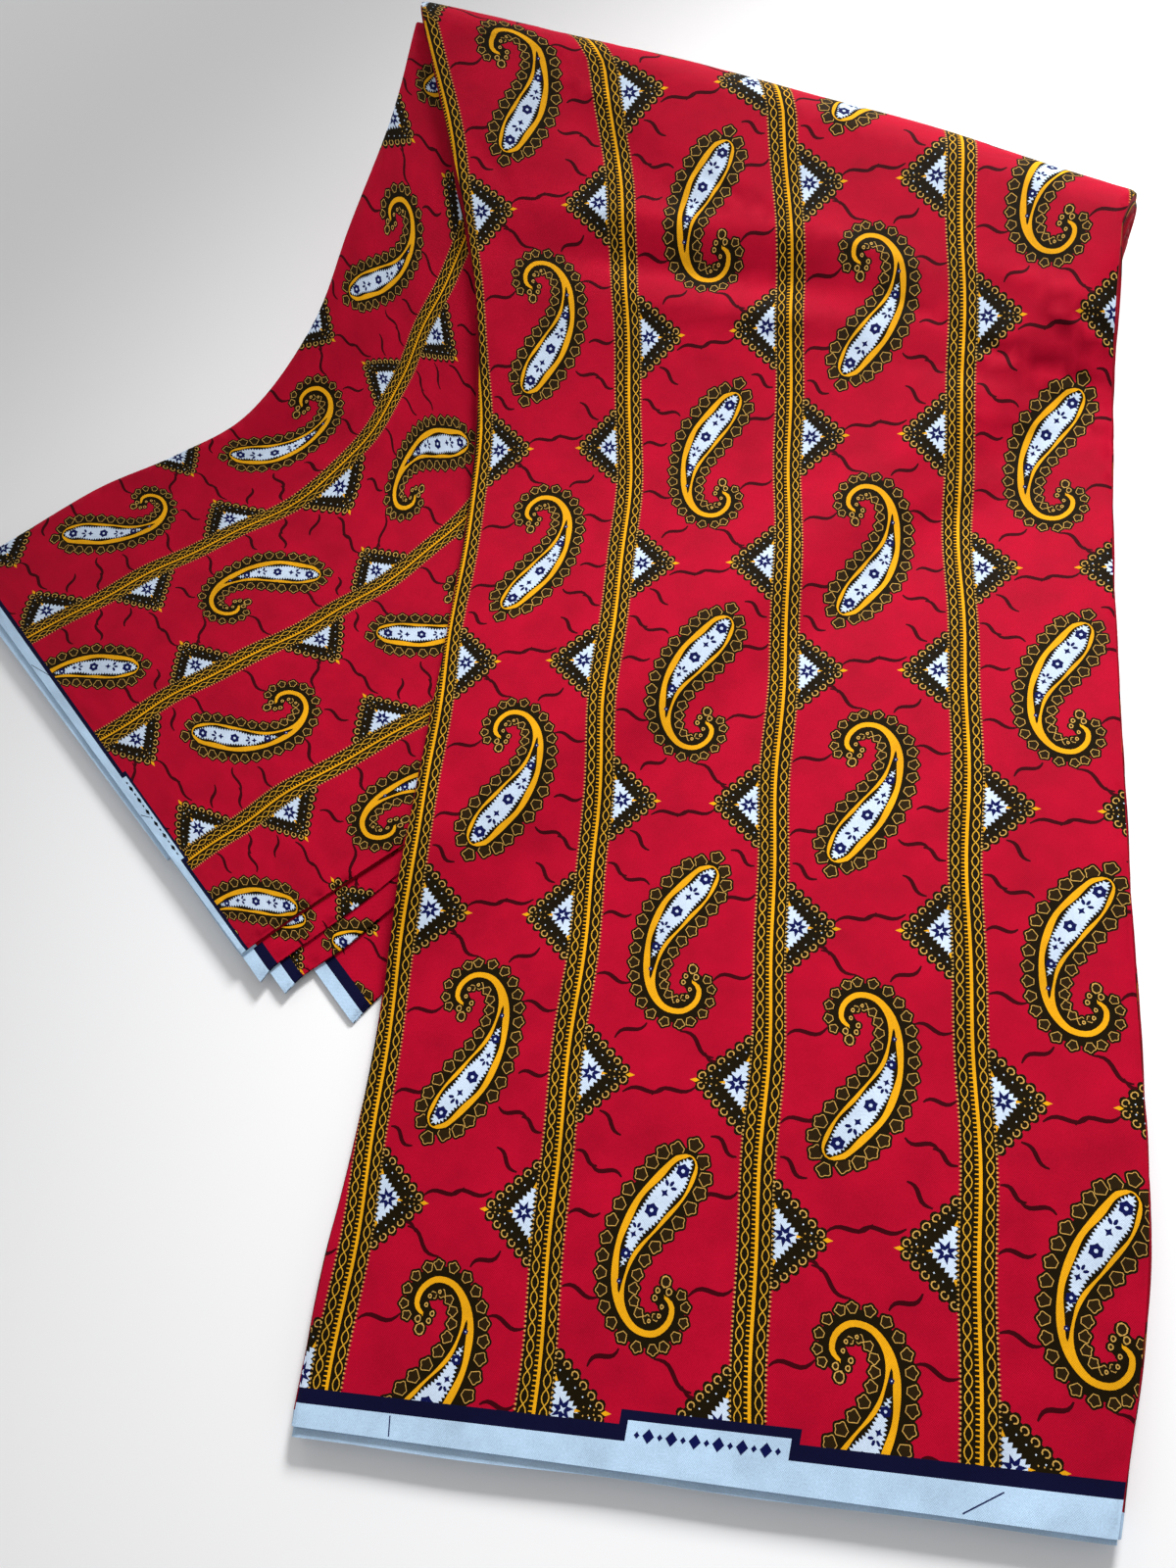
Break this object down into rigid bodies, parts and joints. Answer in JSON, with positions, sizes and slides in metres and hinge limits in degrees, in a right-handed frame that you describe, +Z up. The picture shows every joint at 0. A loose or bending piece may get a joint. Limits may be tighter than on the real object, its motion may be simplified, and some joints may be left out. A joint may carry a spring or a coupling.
{
  "type": "folded wax print fabric",
  "caption": "Length of printed cotton cloth pleated into a flat stack and folded once across, the front half lying over a back half that fans out on the left.",
  "frame": {"origin": "on the floor, under the middle of the folded bundle", "axes": "+X across the front half towards its right edge, +Y along it from the hem to the fold, +Z up"},
  "size_m": [0.6424, 0.7427, 0.1001],
  "materials": {
    "printed_cotton": "waxed plain-weave cotton, printed, soft sheen",
    "fold_edges": "plain-weave cotton, the stacked folded edges",
    "selvedge_cotton": "plain-weave cotton, unprinted pale edge"
  },
  "bodies": {
    "root": {"front_cover": "printed_cotton", "wing_cover": "printed_cotton", "front_selvedge": "selvedge_cotton", "wing_selvedge": "selvedge_cotton", "front_under_selvedge": "selvedge_cotton", "wing_under_selvedge": "selvedge_cotton", "front_layers": "fold_edges", "wing_layers": "fold_edges", "wing_fold_2": "printed_cotton", "wing_fold_3": "printed_cotton", "wing_fold_4": "printed_cotton"}
  },
  "joints": []
}
